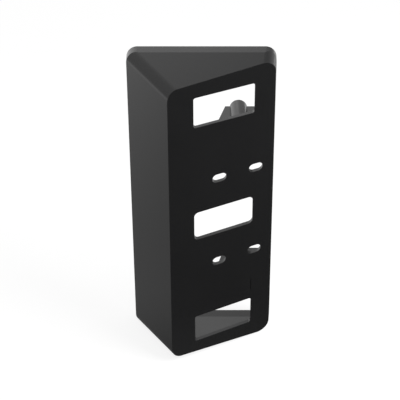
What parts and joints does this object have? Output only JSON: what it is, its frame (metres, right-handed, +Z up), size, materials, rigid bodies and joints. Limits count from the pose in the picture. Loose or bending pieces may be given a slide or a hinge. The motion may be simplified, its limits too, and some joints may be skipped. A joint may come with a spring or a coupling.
{
  "type": "intercom corner bracket",
  "caption": "Hollow black plastic wedge that turns a slim door station to one side; rounded rim on the wall, cable windows and screw slots in its sloping plate.",
  "frame": {"origin": "middle of the rim's wall face, in the plane of the wall", "axes": "+Y into the wall, +Z up along the bracket, +X along the wall towards the plate's low edge"},
  "size_m": [0.081, 0.048, 0.1784],
  "materials": {
    "black_plastic": "smooth moulded black plastic with a satin sheen"
  },
  "bodies": {
    "root": {"bracket": "black_plastic"}
  },
  "joints": []
}
